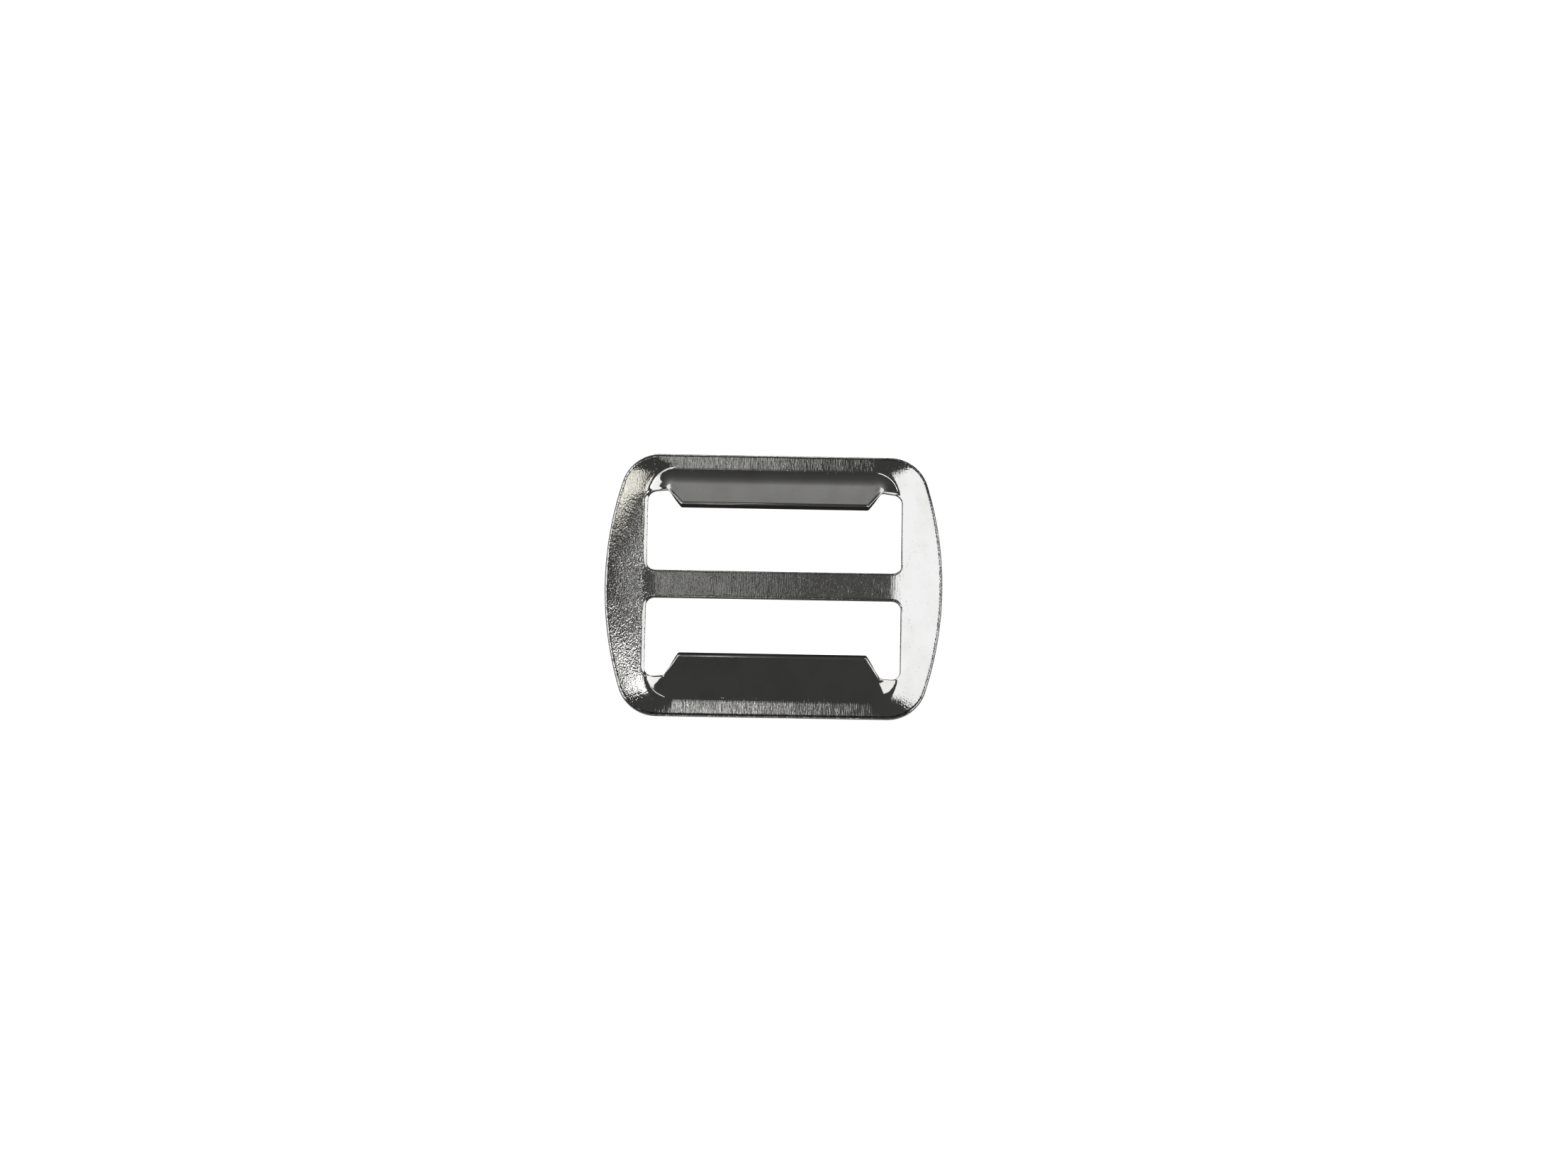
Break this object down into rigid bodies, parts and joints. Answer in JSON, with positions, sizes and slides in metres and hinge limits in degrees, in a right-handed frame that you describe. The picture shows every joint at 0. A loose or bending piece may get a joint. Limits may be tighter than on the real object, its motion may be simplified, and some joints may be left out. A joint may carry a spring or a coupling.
{
  "type": "buckle slider",
  "caption": "Pressed steel tri-glide slider for webbing: crowned frame with bowed sides, a flat centre bar and an upturned lip on each long rail.",
  "frame": {"origin": "under the middle of the centre bar, on the plane that the outer rim rests on", "axes": "+X along the centre bar, +Y across the two slots, +Z out of the front face, the side that the lips turn up to"},
  "size_m": [0.051, 0.04, 0.0061],
  "materials": {
    "nickel_plate": "bright nickel plate over finely brushed steel, edges polished by barrelling"
  },
  "bodies": {
    "root": {"slider_frame": "nickel_plate"}
  },
  "joints": []
}
